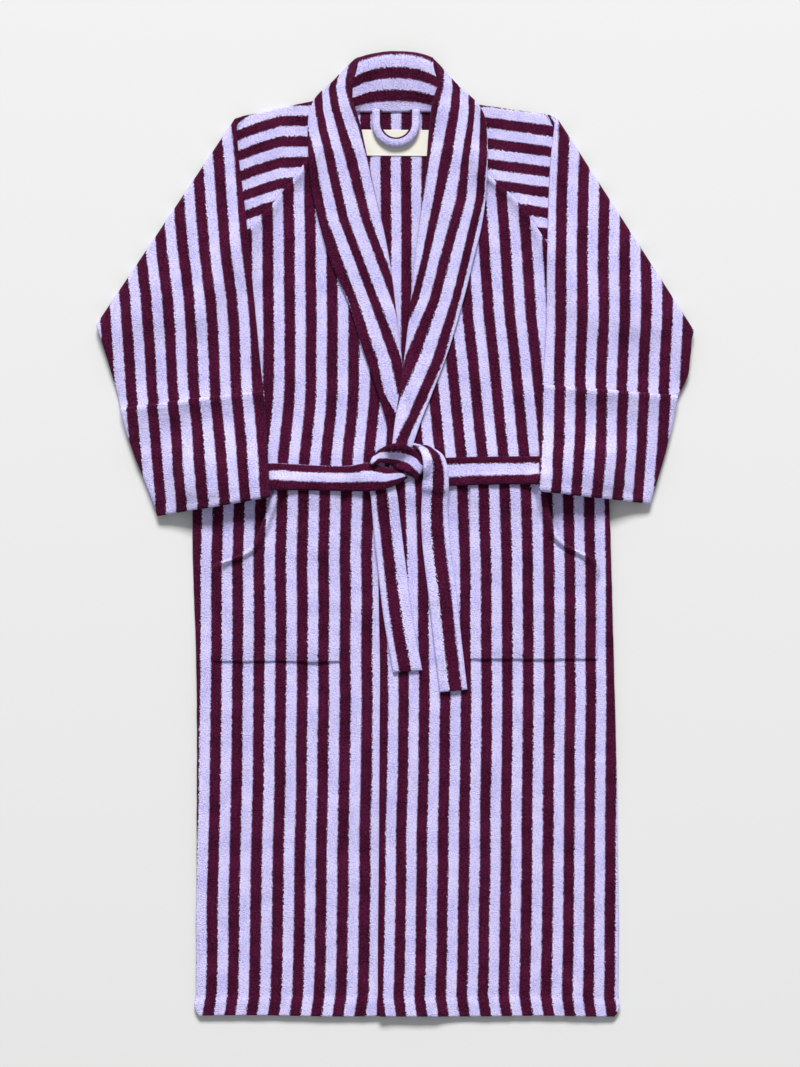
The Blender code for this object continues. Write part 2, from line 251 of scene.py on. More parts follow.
def cloth_object(name, vertices, faces, weave, finish, mend):
    """An object of cloth. weave holds the place in the weave of each vertex."""
    mesh = bpy.data.meshes.new(name)
    mesh.from_pydata(vertices.reshape(-1, 3).tolist(), [], faces)
    layer = mesh.uv_layers.new(name="weave")
    corners = np.array([loop.vertex_index for loop in mesh.loops])
    layer.data.foreach_set("uv", weave[corners].astype(np.float32).ravel())
    shaped = bmesh.new()
    shaped.from_mesh(mesh)
    mend(shaped)
    shaped.to_mesh(mesh)
    shaped.free()
    mesh.polygons.foreach_set("use_smooth", [True] * len(mesh.polygons))
    mesh.materials.append(finish)
    obj = bpy.data.objects.new(name, mesh)
    bpy.context.collection.objects.link(obj)
    return obj


def cloth(name, points, weave, thick=TERRY, square=(), lean=None, relief=None, finish=None):
    """A sheet with two faces and round edges, round a grid of points in its middle.

    square names the edges that end flat against a seam. lean gives, for an edge, how far its
    round lip turns up, so that two layers close on each other at a fold or a seam.
    """
    x, y = points[..., 0], points[..., 1]
    span = from_edges(points)
    round_off = np.ones_like(x)
    points = points.copy()
    for edge, distance in span.items():
        if edge not in square:
            round_off = np.minimum(round_off, lip(distance, thick * 0.5))
        turn = (lean or {}).get(edge, 0.0)
        if turn:
            points[..., 2] += turn * thick / 2 * (1 - lip(distance, thick * 1.6))
    normal = sides_of(points)
    half = thick / 2 * round_off[..., None]
    puff = 0.0 if relief is None else (relief * round_off)[..., None]
    top = points + normal * (half + puff)
    bottom = points - normal * half
    rows, cols = x.shape
    count = rows * cols
    place = np.arange(count).reshape(rows, cols)
    quads = np.stack([place[:-1, :-1], place[:-1, 1:], place[1:, 1:], place[1:, :-1]], -1).reshape(-1, 4)
    ring = np.concatenate([place[0, :], place[1:, -1], place[-1, -2::-1], place[-2:0:-1, 0]])
    after = np.roll(ring, -1)
    wall = np.stack([ring, ring + count, after + count, after], -1)
    faces = np.concatenate([quads, quads[:, ::-1] + count, wall])
    weave = np.tile(np.stack(weave, -1).reshape(-1, 2), (2, 1))
    return cloth_object(name, np.stack([top, bottom]), faces.tolist(), weave, finish, join_doubles)


def terry_relief(x, y, seed):
    """The unevenness of terry: its hand-sized waves, its lumps and its loops."""
    return (
        0.00085 * waves(x, y, (0.12, 0.07), seed)
        + 0.00045 * waves(x, y, (0.034, 0.023), seed + 1)
        + 0.00018 * waves(x, y, (0.0125, 0.0105), seed + 2)
    )


PILE_PERIOD = 0.0280  # the width of a stripe pair in metres of weave, which sets the loops' size
MAROON_SHARE = 0.505  # of a stripe pair's width
DYED_SHARE = 0.522  # as it shows, since maroon loops lean over the line
# Each yarn's first colour, between the loops, is painted shade in the pile; its second colour is on the
# loops' tops.
MAROON = ((0.02, 0.0003, 0.007, 1.0), (0.112, 0.0085, 0.052, 1.0))  # between and on the loops
LAVENDER = ((0.40, 0.37, 0.82, 1.0), (0.74, 0.69, 1.0, 1.0))


def terry(name):
    """Striped terry. The weave's U counts stripe pairs, and its V runs along them in metres."""
    made = bpy.data.materials.new(name)
    made.use_nodes = True
    nodes, links = made.node_tree.nodes, made.node_tree.links
    shader = nodes["Principled BSDF"]

    def node(kind, **values):
        new = nodes.new(kind)
        for key, value in values.items():
            setattr(new, key, value)
        return new

    def maths(operation, a, b=None, c=None):
        new = node("ShaderNodeMath", operation=operation)
        for k, value in enumerate((a, b, c)):
            if value is None:
                continue
            if isinstance(value, float):
                new.inputs[k].default_value = value
            else:
                links.new(value, new.inputs[k])
        return new.outputs[0]

    def noise(scale, detail, vector):
        new = node("ShaderNodeTexNoise", noise_dimensions="2D")
        new.inputs["Scale"].default_value = scale
        new.inputs["Detail"].default_value = detail
        links.new(vector, new.inputs["Vector"])
        return new.outputs["Fac"]

    def blend(share_of, first, second):
        new = node("ShaderNodeMix", data_type="RGBA")
        for socket, value in ((0, share_of), (6, first), (7, second)):
            if isinstance(value, tuple):
                new.inputs[socket].default_value = value
            else:
                links.new(value, new.inputs[socket])
        return new.outputs[2]

    def ramp(value, low, high):
        new = node("ShaderNodeMapRange", interpolation_type="SMOOTHSTEP")
        links.new(value, new.inputs["Value"])
        new.inputs["From Min"].default_value = low
        new.inputs["From Max"].default_value = high
        return new.outputs["Result"]

    weave = node("ShaderNodeUVMap", uv_map="weave")
    parts = node("ShaderNodeSeparateXYZ")
    links.new(weave.outputs["UV"], parts.inputs[0])
    metres = node("ShaderNodeCombineXYZ")
    links.new(maths("MULTIPLY", parts.outputs[0], PILE_PERIOD), metres.inputs[0])
    links.new(parts.outputs[1], metres.inputs[1])
    place = metres.outputs[0]

    loops = noise(640.0, 1.0, place)
    tufts = noise(330.0, 1.0, place)
    fibres = noise(1500.0, 0.0, place)
    drift = noise(120.0, 1.0, place)
    curls = maths("MULTIPLY_ADD", loops, 0.70, maths("MULTIPLY", tufts, 0.30))
    lean_over = maths("MULTIPLY_ADD", curls, 0.24, -0.12)
    wander = maths("ADD", lean_over, maths("MULTIPLY_ADD", drift, 0.04, -0.02))
    stripe = maths("FRACT", maths("ADD", parts.outputs[0], wander))
    off_centre = maths("ABSOLUTE", maths("SUBTRACT", stripe, DYED_SHARE / 2))
    off_centre = maths("MINIMUM", off_centre, maths("SUBTRACT", 1.0, off_centre))
    is_lavender = ramp(off_centre, DYED_SHARE / 2 - 0.016, DYED_SHARE / 2 + 0.016)

    # The yarn is darker where the loop noise is low, between the loops: painted shade in the pile. The
    # patchy noise is the yarn's own uneven tone.
    patchy = noise(38.0, 2.0, place)
    pile_shade_and_tone = maths("MULTIPLY_ADD", patchy, 0.22, maths("MULTIPLY", curls, 0.78))
    maroon_yarn = blend(ramp(pile_shade_and_tone, 0.34, 0.70), *MAROON)
    lavender_yarn = blend(ramp(pile_shade_and_tone, 0.30, 0.62), *LAVENDER)
    links.new(blend(is_lavender, maroon_yarn, lavender_yarn), shader.inputs["Base Color"])
    shader.inputs["Roughness"].default_value = 0.95
    shader.inputs["Specular IOR Level"].default_value = 0.06
    shader.inputs["Sheen Weight"].default_value = 0.05
    shader.inputs["Sheen Roughness"].default_value = 0.6
    shader.inputs["Sheen Tint"].default_value = (0.9, 0.55, 0.8, 1.0)
    bump = node("ShaderNodeBump")
    bump.inputs["Strength"].default_value = 0.9
    bump.inputs["Distance"].default_value = 0.0020
    links.new(maths("MULTIPLY_ADD", fibres, 0.15, curls), bump.inputs["Height"])
    links.new(bump.outputs[0], shader.inputs["Normal"])
    return made


terry_cloth = terry("striped_terry")


def line_at(points, at):
    """The second number of a line of points, where its first number is at."""
    points = sorted(points)
    return np.interp(at, [p[0] for p in points], [p[1] for p in points])


def declare(obj, body, nodes):
    """Parents a piece to its body's empty and hides the CAD parts that it stands for, named in nodes. Where
    body is a tuple, of two bodies and the points between which the piece would bend, the piece's transform
    is baked in instead, and the rest of the tuple is not read."""
    if isinstance(body, tuple):
        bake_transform(obj)
    else:
        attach(obj, body)
    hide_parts(*nodes)


HEM = 0.026  # the height of the folded hem
HEM_LINE = -0.607  # where its stitches run
HEM_WAVE = 0.0016  # how far its edge wanders


def stripes_along_y(line, periods, hem_lean=0.0):
    """The weave where stripes run lengthwise.

    line holds (y, x) of one maroon stripe's west edge, and periods (y, width of a stripe pair).
    hem_lean is how far the folded hem pulls the stripes east.
    """

    def weave(x, y):
        folded = np.clip((HEM_LINE - y) / HEM, 0, 1)
        return (x - line_at(line, y) - hem_lean * folded) / line_at(periods, y), y

    return weave


def lay(name, stations, weave, seed, thick=TERRY, square=(), lean=None, stiff=30, least=None,
        puff=None, folds=None, step=STEP, finish=None):
    """Lays a sheet on the pile, and puts it on the pile in its turn.

    stations are the two ends of lines across it, weave gives its stripes, puff how far it stands
    off what it lies on, folds the relief of its seams, and least its lowest height.
    """
    x, y, _, across = patch(stations, step)
    near_hem = np.clip((-0.50 - y) / 0.13, 0, 1)
    y = y + HEM_WAVE * waves(x, y, (0.33, 0.16), 5) * near_hem
    low = 0.0 if least is None else least(x, y)
    z = drape(x, y, thick, stiff, low)
    along = np.linspace(0, 1, x.shape[0])[:, None]
    if puff is not None:
        z = z + puff(np.broadcast_to(across, x.shape), np.broadcast_to(along, x.shape), x, y)
    points = np.stack([x, y, z], -1)
    relief = terry_relief(x, y, seed) * min(1.0, thick / TERRY) ** 2
    span = from_edges(points)
    for edge in square:
        relief = relief * lip(span[edge], 0.012)
    if folds is not None:
        relief = relief + folds(x, y, span)
    across_stripes, along_stripes = weave(x, y)
    woven = (across_stripes + stripe_drift(x, y), along_stripes)
    obj = cloth(name, points, woven, thick, square, lean, relief, finish or terry_cloth)
    top = points.copy()
    top[..., 2] += thick / 2 + relief
    heap(top)
    return obj


def groove(distance, place, depth=0.0011, width=0.0022):
    """A line of stitches that sinks into the pile."""
    return -depth * np.exp(-(((distance - place) / width) ** 2))


# the belt's back run, a ribbon of two layers, lies under the back panel
BELT_WIDTH = 0.037
BACK_RUN_TOP = 0.0985
DOUBLE = 0.0056  # two layers sewn together


def back_run_weave(x, y):
    """Its stripes: two maroon ones, with lavender between them."""
    across = (BACK_RUN_TOP - y) / BELT_WIDTH
    return np.interp(across, (0.0, 0.34, 0.66, 1.0), (0.0, MAROON_SHARE, 1.0, 1 + MAROON_SHARE)), x


belt_back_run = lay(
    "belt_back_run_cloth",
    [(x, BACK_RUN_TOP, x, BACK_RUN_TOP - BELT_WIDTH) for x in (-0.263, 0.0, 0.2766)],
    back_run_weave, seed=11, thick=DOUBLE,
)
declare(belt_back_run, "root", ["belt_back_run"])

# the back panel itself
SIDE_RIGHT = [(-0.2565, -0.633), (-0.2606, -0.627), (-0.261, -0.60), (-0.2605, -0.42), (-0.2606, -0.19),
              (-0.266, 0.02), (-0.263, 0.16), (-0.253, 0.288), (-0.222, 0.345), (-0.191, 0.399),
              (-0.158, 0.436), (-0.129, 0.472), (-0.104, 0.508)]
SIDE_LEFT = [(0.2875, -0.633), (0.2924, -0.627), (0.293, -0.60), (0.293, -0.42), (0.288, -0.19),
             (0.282, 0.02), (0.275, 0.16), (0.259, 0.284), (0.2245, 0.34), (0.192, 0.393),
             (0.158, 0.4395), (0.124, 0.47), (0.104, 0.502)]


def hem(x, y, span):
    """The folded hem: it is a little thicker below its stitches."""
    thicker = 0.0011 * np.clip((HEM + 0.001 - span["first"]) / 0.004, 0, 1)
    return thicker + groove(span["first"], HEM, 0.002, 0.002)


back_weave = stripes_along_y([(0.0, 0.0079)], [(0.0, 0.027)])
back_panel = lay(
    "back_panel_cloth",
    [a + b for a, b in zip(SIDE_RIGHT, SIDE_LEFT)] + [(-0.078, 0.56, 0.082, 0.56)],
    back_weave, seed=21, lean={"west": 0.9, "east": 0.9}, folds=hem, step=0.0052,
)
declare(back_panel, "root", ["back_panel"])

# ---------------------------------------------------------------- sleeve heads
# Each raglan sleeve is a tube of terry, two layers here, sewn to the body along the slanted
# seam. Its head lies flat beside the chest, with its stripes out along the arm.
CREASE = {
    "right": {"shoulder": (-0.209, 0.547), "elbow": (-0.392, 0.275), "inboard": (0.8297, -0.5582)},
    "left": {"shoulder": (0.211, 0.549), "elbow": (0.392, 0.268), "inboard": (-0.8407, -0.5415)},
}
HEAD_TOP = {"right": (0.977, 0.214), "left": (-0.985, 0.172)}  # the way the shoulder's edge runs
HEAD_UNDER = {"right": (0.995, 0.093), "left": (-0.993, 0.119)}  # and the underarm's
HEAD_STRIPE = {
    "right": [(-0.39, 0.405), (-0.30, 0.448), (-0.1974, 0.4925), (-0.1777, 0.4997), (-0.1513, 0.5076),
              (-0.125, 0.5083)],
    "left": [(0.125, 0.5198), (0.1632, 0.515), (0.2014, 0.51), (0.30, 0.484), (0.39, 0.455)],
}
HEAD_PERIOD = 0.0272
BACK_CUT = 0.0186  # how far from the fold a head ends, where the piece that turns over starts
FRONT_CUT = 0.0106


def head_weave(side):
    """The weave of a head, where stripes run out along the arm."""
    up = 1 if side == "right" else -1
    return lambda x, y: (up * (y - line_at(HEAD_STRIPE[side], x)) / HEAD_PERIOD, up * x)


def edge_point(base, way, inboard, depth):
    """The point on an edge that runs from base this way, at this depth inside the fold."""
    way = np.array(way) / np.linalg.norm(way)
    return np.array(base) + way * depth / (way @ np.array(inboard))


def from_west(side, outer, inner):
    """Stations from the outer and inner ends of a piece on this side, with the west ends first."""
    pairs = zip(outer, inner) if side == "right" else zip(inner, outer)
    return [tuple(west) + tuple(east) for west, east in pairs]


def head_stations(side, depth):
    """Lines across a sleeve's head, from its cut at this depth inside the fold to the seam."""
    fold = CREASE[side]
    high = edge_point(fold["shoulder"], HEAD_TOP[side], fold["inboard"], depth)
    low = edge_point(fold["elbow"], HEAD_UNDER[side], fold["inboard"], depth)
    seam = (SIDE_RIGHT if side == "right" else SIDE_LEFT)[7:]
    seam = seam + [(-0.104, 0.57) if side == "right" else (0.108, 0.564)]
    share = np.linspace(0, 1, len(seam))[:, None]
    cut = low + (high - low) * share
    return from_west(side, cut, seam)


for side in ("right", "left"):
    fold_edge, seam_edge = ("west", "east") if side == "right" else ("east", "west")
    back_head = lay(
        f"sleeve_{side}_back_head", head_stations(side, BACK_CUT), head_weave(side), seed=31,
        square=(fold_edge,), lean={"first": 0.8, "last": 0.8}, stiff=4,
    )
    declare(back_head, "root", [f"sleeve_{side}_back_upper"])
    front_head = lay(
        f"sleeve_{side}_front_head", head_stations(side, FRONT_CUT), head_weave(side), seed=33,
        square=(fold_edge,), lean={"first": -0.8, "last": -0.8}, stiff=4,
        least=lambda x, y: 0.0036,
    )
    declare(front_head, "root", [f"sleeve_{side}_front_upper"])

# ---------------------------------------------------------------- fronts
# Two panels of terry over the back panel, sewn to it at the side seams. The left one laps over
# the right one, and its free edge runs down the middle to the hem.
RIGHT_EDGE = [(0.048, -0.633), (0.0508, -0.627), (0.051, -0.60), (0.049, -0.42), (0.046, -0.19),
              (0.043, 0.05), (0.028, 0.15), (0.002, 0.225), (-0.01, 0.30), (-0.013, 0.35),
              (-0.022, 0.40), (-0.036, 0.455), (-0.048, 0.508)]
LEFT_EDGE = [(-0.019, -0.633), (-0.0221, -0.627), (-0.0224, -0.60), (-0.0211, -0.42), (-0.0197, -0.19),
             (-0.0185, 0.02), (0.0, 0.13), (0.02, 0.262), (0.027, 0.33), (0.034, 0.385),
             (0.04, 0.432), (0.046, 0.47), (0.05, 0.502)]
RIGHT_STRIPE = [(-0.633, -0.1355), (-0.5606, -0.1342), (-0.2185, -0.129), (-0.0342, -0.129),
                (0.10, -0.1258), (0.1237, -0.1237), (0.1763, -0.1184), (0.2027, -0.1171),
                (0.2553, -0.1171), (0.3869, -0.1184), (0.52, -0.12)]
RIGHT_PERIOD = [(-0.60, 0.02856), (-0.2185, 0.02829), (0.10, 0.02803), (0.50, 0.02803)]
LEFT_STRIPE = [(-0.6304, 0.1355), (-0.5606, 0.1369), (-0.2185, 0.1408), (-0.0342, 0.1395), (0.10, 0.1355),
               (0.1237, 0.1329), (0.1763, 0.1277), (0.229, 0.1224), (0.2816, 0.1165), (0.3343, 0.1132),
               (0.3869, 0.1092), (0.4395, 0.1053), (0.52, 0.101)]
LEFT_PERIOD = [(-0.5606, 0.02764), (-0.2185, 0.02731), (0.10, 0.0276), (0.50, 0.0279)]
right_weave = stripes_along_y(RIGHT_STRIPE, RIGHT_PERIOD, -0.0032)
left_weave = stripes_along_y(LEFT_STRIPE, LEFT_PERIOD, 0.0042)

front_right = lay(
    "front_right_cloth", [a + b for a, b in zip(SIDE_RIGHT, RIGHT_EDGE)], right_weave, seed=41,
    lean={"west": -0.9}, folds=hem, stiff=30,
)
declare(front_right, "root", ["front_panel_right"])
front_left = lay(
    "front_left_cloth", [a + b for a, b in zip(LEFT_EDGE, SIDE_LEFT)], left_weave, seed=51,
    lean={"east": -0.9}, stiff=30,
    folds=lambda x, y, span: hem(x, y, span) + groove(span["west"], 0.022, 0.0006),
)
declare(front_left, "root", ["front_panel_left"])

# ---------------------------------------------------------------- pockets
# A patch of terry on each front, with its stripes matched. It is sewn on along its bottom, its
# inner edge and its top, and a thick rolled edge scoops out the corner that the hand goes in by.
POCKET_OUTER = {
    "right": [(-0.238, -0.167), (-0.238, -0.068), (-0.2355, -0.0385), (-0.217, -0.0315),
              (-0.197, -0.0225), (-0.183, -0.005), (-0.172, 0.021), (-0.162, 0.05), (-0.156, 0.072)],
    "left": [(0.266, -0.164), (0.266, -0.064), (0.2645, -0.034), (0.25, -0.025), (0.234, -0.018),
             (0.218, -0.005), (0.206, 0.021), (0.199, 0.05), (0.195, 0.072)],
}
POCKET_INNER = {"right": -0.0715, "left": 0.0985}
POCKET_ROWS = (0.0, 0.34, 0.46, 0.51, 0.57, 0.66, 0.79, 0.91, 1.0)
for side, weave in (("right", right_weave), ("left", left_weave)):
    outer = POCKET_OUTER[side]
    low_end, high_end = outer[0][1], outer[-1][1]
    inner = [(POCKET_INNER[side], low_end + (high_end - low_end) * share) for share in POCKET_ROWS]
    scoop, seam_edge = ("west", "east") if side == "right" else ("east", "west")

    def rolled(x, y, span, scoop=scoop, seam_edge=seam_edge, start=outer[1][1]):
        opening = np.clip((y - start) / 0.03, 0, 1)
        ridge = 0.0062 * opening * np.exp(-(((span[scoop] - 0.006) / 0.0056) ** 2))
        sewn = groove(span[seam_edge], 0.005, 0.0009) + groove(span["first"], 0.005, 0.0009)
        return ridge + groove(span[scoop], 0.0145, 0.0016, 0.0028) * opening + sewn

    def gaping(u, v, x, y, scoop=scoop):
        full = 0.0045 * np.sin(np.pi * u) ** 0.8 * np.sin(np.pi * v) ** 0.6
        from_scoop = u if scoop == "west" else 1 - u
        raised = np.clip((v - 0.37) / 0.11, 0, 1) * np.clip(1 - from_scoop / 0.35, 0, 1) ** 1.5
        return full + 0.0055 * raised

    pocket = lay(
        f"pocket_{side}_cloth", from_west(side, outer, inner), weave, seed=61,
        folds=rolled, stiff=10, step=0.0032, lean={"first": -0.9, seam_edge: -0.6}, puff=gaping,
    )
    declare(pocket, "root", [f"pocket_{side}"])

# ---------------------------------------------------------------- neck
# The blank woven label and the hanging loop, a bent tube of terry, are sewn to the back panel
# under the collar's seam.
label_cloth = bpy.data.materials.new("woven_label")
label_cloth.use_nodes = True
label_nodes, label_links = label_cloth.node_tree.nodes, label_cloth.node_tree.links
label_shader = label_nodes["Principled BSDF"]
label_place = label_nodes.new("ShaderNodeTexCoord")
label_weave = label_nodes.new("ShaderNodeTexWave")
label_weave.inputs["Scale"].default_value = 700.0
label_weave.inputs["Distortion"].default_value = 1.0
label_links.new(label_place.outputs["Object"], label_weave.inputs["Vector"])
label_tone = label_nodes.new("ShaderNodeMix")
label_tone.data_type = "RGBA"
label_tone.inputs[6].default_value = (0.74, 0.72, 0.64, 1.0)
label_tone.inputs[7].default_value = (0.88, 0.86, 0.79, 1.0)
label_links.new(label_weave.outputs["Fac"], label_tone.inputs[0])
label_links.new(label_tone.outputs[2], label_shader.inputs["Base Color"])
label_bump = label_nodes.new("ShaderNodeBump")
label_bump.inputs["Strength"].default_value = 0.3
label_bump.inputs["Distance"].default_value = 0.0003
label_links.new(label_weave.outputs["Fac"], label_bump.inputs["Height"])
label_links.new(label_bump.outputs[0], label_shader.inputs["Normal"])
label_shader.inputs["Roughness"].default_value = 0.6

neck_label = lay(
    "neck_label_woven", [(-0.0375, 0.497, 0.05, 0.4965), (-0.044, 0.5315, 0.0495, 0.531)],
    lambda x, y: (x, y), seed=3, thick=0.0008, stiff=4, finish=label_cloth, step=0.003,
    folds=lambda x, y, span: groove(np.minimum.reduce(list(span.values())), 0.0022, 0.0003, 0.0006),
)
declare(neck_label, "root", ["neck_label"])


def face_outward(shaped):
    bmesh.ops.recalc_face_normals(shaped, faces=shaped.faces[:])


def tube(name, middle, radii, weave_across, finish, sides=18):
    """A tube of cloth round a smooth line, closed at both ends. radii are across and up."""
    middle = np.array(middle, float)
    along = np.gradient(middle, axis=0)
    along /= np.linalg.norm(along, axis=1, keepdims=True)
    across = np.cross(along, (0.0, 0.0, 1.0))
    across /= np.maximum(np.linalg.norm(across, axis=1, keepdims=True), 1e-9)
    lift = np.cross(across, along)
    turn = np.linspace(0, math.tau, sides, endpoint=False)
    ring = (
        middle[:, None, :]
        + across[:, None, :] * (radii[0] * np.cos(turn)[None, :, None])
        + lift[:, None, :] * (radii[1] * np.sin(turn)[None, :, None])
    )
    count = len(middle)
    place = np.arange(count * sides).reshape(count, sides)
    beside = np.roll(place, -1, axis=1)
    quads = np.stack([place[:-1], beside[:-1], beside[1:], place[1:]], -1).reshape(-1, 4)
    ends = [place[0, ::-1].tolist(), place[-1].tolist()]
    reach = np.concatenate([[0], np.cumsum(np.linalg.norm(np.diff(middle, axis=0), axis=1))])
    u = np.broadcast_to(np.interp(np.cos(turn), *weave_across)[None, :], (count, sides))
    v = np.broadcast_to(reach[:, None], (count, sides))
    weave = np.stack([u, v], -1).reshape(-1, 2)
    return cloth_object(name, ring, quads.tolist() + ends, weave, finish, face_outward)


LOOP_MIDDLE = (0.0013, 0.539, 0.01)
LOOP_RADIUS = 0.0250
LOOP_LEGS = (0.557, 0.5535, 0.549, 0.544)  # from the neck seam down to the bend
LEG_HEIGHT = 0.0088
middle_x, middle_y, bend_height = LOOP_MIDDLE
loop_line = [(middle_x + LOOP_RADIUS, y, LEG_HEIGHT) for y in LOOP_LEGS]
loop_line += [
    (middle_x + LOOP_RADIUS * math.cos(a), middle_y - LOOP_RADIUS * math.sin(a), bend_height)
    for a in np.linspace(0, math.pi, 29)
]
loop_line += [(middle_x - LOOP_RADIUS, y, LEG_HEIGHT) for y in LOOP_LEGS[::-1]]
hanging_loop = tube(
    "hanging_loop_cloth", loop_line, (0.0064, 0.0042),
    ((-1.0, 0.60, 0.70, 1.0), (0.95, 0.60, 0.40, 0.15)), terry_cloth,
)
loop_bend = ("root", "hanging_loop", (0.0, 0.554, 0.008), (0.0, 0.544, 0.008))
declare(hanging_loop, loop_bend, ["hanging_loop"])

# ---------------------------------------------------------------- collar
# A shawl collar: each band is folded terry that lies on its front along the neckline. Its fold
# is low at the crossing and rises into the roll behind the neck. The stripes follow the outer edge.
RIGHT_BAND = [  # outer x, y, inner x, y, and the radius of the fold
    (-0.006, 0.113, 0.012, 0.113, 0.0029), (-0.0118, 0.148, 0.0122, 0.154, 0.0029),
    (-0.023, 0.187, 0.012, 0.19, 0.0029), (-0.039, 0.233, 0.0085, 0.233, 0.003),
    (-0.0619, 0.305, 0.0005, 0.30, 0.0031), (-0.0855, 0.3606, -0.006, 0.352, 0.0033),
    (-0.0985, 0.405, -0.015, 0.40, 0.0036), (-0.1079, 0.445, -0.025, 0.443, 0.0041),
    (-0.1125, 0.485, -0.034, 0.486, 0.0048), (-0.1145, 0.523, -0.042, 0.526, 0.0062),
    (-0.113, 0.55, -0.0475, 0.55, 0.0074), (-0.106, 0.57, -0.053, 0.569, 0.0083),
    (-0.094, 0.585, -0.05, 0.583, 0.0088), (-0.081, 0.596, -0.047, 0.593, 0.0088),
    (-0.07, 0.6085, -0.045, 0.602, 0.0083), (-0.06, 0.6175, -0.044, 0.611, 0.0074),
    (-0.053, 0.6238, -0.0435, 0.617, 0.0064), (-0.047, 0.6265, -0.041, 0.6215, 0.0052),
]
LEFT_BAND = [
    (0.0225, 0.113, -0.004, 0.113, 0.0029), (0.035, 0.15, 0.001, 0.154, 0.0029),
    (0.049, 0.185, 0.0063, 0.187, 0.0029), (0.0665, 0.23, 0.0125, 0.232, 0.003),
    (0.088, 0.30, 0.02, 0.301, 0.0031), (0.1035, 0.3606, 0.0258, 0.36, 0.0033),
    (0.114, 0.405, 0.0315, 0.405, 0.0036), (0.1195, 0.445, 0.0365, 0.445, 0.0041),
    (0.1212, 0.485, 0.0405, 0.485, 0.0048), (0.121, 0.523, 0.043, 0.523, 0.0056),
    (0.117, 0.55, 0.0448, 0.548, 0.0074), (0.106, 0.568, 0.047, 0.568, 0.0083),
    (0.093, 0.581, 0.0495, 0.581, 0.0088), (0.08, 0.593, 0.0505, 0.593, 0.0088),
    (0.07, 0.604, 0.05, 0.602, 0.0083), (0.061, 0.614, 0.048, 0.611, 0.0074),
    (0.054, 0.6205, 0.0465, 0.6165, 0.0064), (0.047, 0.6255, 0.043, 0.6205, 0.0052),
]
# Where maroon starts and ends across a band, from the west, at heights y up the neckline.
RIGHT_BAND_STRIPES = [
    (0.155, -0.0165, 0.0025, 0.02, 0.035, 0.052, 0.064, 0.08, 0.092),
    (0.185, -0.0268, -0.0145, 0.003, 0.0175, 0.034, 0.046, 0.062, 0.074),
    (0.229, -0.0395, -0.0233, -0.006, 0.0086, 0.024, 0.037, 0.053, 0.065),
    (0.308, -0.0619, -0.05, -0.0342, -0.0224, -0.0053, 0.0066, 0.0224, 0.0342),
    (0.361, -0.0875, -0.0698, -0.054, -0.0422, -0.025, -0.0132, 0.0026, 0.0151),
    (0.413, -0.1026, -0.0895, -0.0737, -0.0619, -0.0447, -0.0329, -0.0171, -0.0039),
    (0.492, -0.1171, -0.104, -0.0915, -0.079, -0.0651, -0.05, -0.0362, -0.0224),
    (0.532, -0.1211, -0.1145, -0.1007, -0.0895, -0.0763, -0.0645, -0.0474, -0.0368),
    (0.558, -0.1237, -0.1178, -0.1046, -0.0948, -0.0829, -0.0724, -0.0579, -0.045),
    (0.584, -0.1263, -0.1184, -0.1066, -0.0961, -0.0875, -0.077, -0.0651, -0.05),
    (0.598, -0.1277, -0.1198, -0.1105, -0.1013, -0.0816, -0.0757, -0.0645, -0.044),
    (0.616, -0.1277, -0.1211, -0.1132, -0.1053, -0.079, -0.0697, -0.0612, -0.038),
]
LEFT_BAND_STRIPES = [
    (0.121, -0.085, -0.072, -0.057, -0.043, -0.029, -0.015, 0.0013, 0.0148),
    (0.176, -0.065, -0.051, -0.037, -0.024, -0.009, 0.0055, 0.0258, 0.0406),
    (0.229, -0.045, -0.032, -0.0165, -0.0045, 0.012, 0.0308, 0.0492, 0.064),
    (0.308, -0.0026, 0.0066, 0.0217, 0.0309, 0.0454, 0.0586, 0.0744, 0.0849),
    (0.361, 0.0105, 0.0197, 0.0349, 0.0441, 0.0586, 0.0717, 0.0875, 0.098),
    (0.44, 0.025, 0.0368, 0.0507, 0.0625, 0.0803, 0.0934, 0.1059, 0.1165),
    (0.492, 0.0355, 0.0454, 0.0592, 0.0744, 0.0875, 0.0974, 0.1092, 0.1198),
    (0.532, 0.04, 0.0513, 0.0671, 0.0803, 0.0941, 0.1026, 0.1112, 0.1204),
    (0.558, 0.043, 0.0559, 0.0724, 0.0842, 0.0974, 0.1053, 0.1119, 0.1178),
    (0.584, 0.045, 0.0619, 0.075, 0.0855, 0.0967, 0.104, 0.1145, 0.1198),
    (0.598, 0.045, 0.0632, 0.0744, 0.079, 0.0961, 0.1026, 0.1145, 0.1198),
    (0.616, 0.04, 0.0632, 0.075, 0.0829, 0.0987, 0.104, 0.1171, 0.1224),
]
COLLAR_LAYER = 0.0028
PAIR = 0.0278  # the width of a maroon and a lavender stripe


def band_weave(table, x, y):
    """How many stripe pairs west of x, from the table of where they lie at this height."""
    table = np.array(table)
    knots = np.stack([np.interp(y, table[:, 0], column) for column in table[:, 1:].T], -1)
    pairs = np.zeros_like(x)
    for k in range(knots.shape[-1] - 1):
        low, high = knots[..., k], knots[..., k + 1]
        share = (x - low) / (high - low)
        share = np.clip(share, 0 if k else None, 1 if k < knots.shape[-1] - 2 else None)
        pairs += share * (MAROON_SHARE if k % 2 == 0 else 1 - MAROON_SHARE)
    return pairs


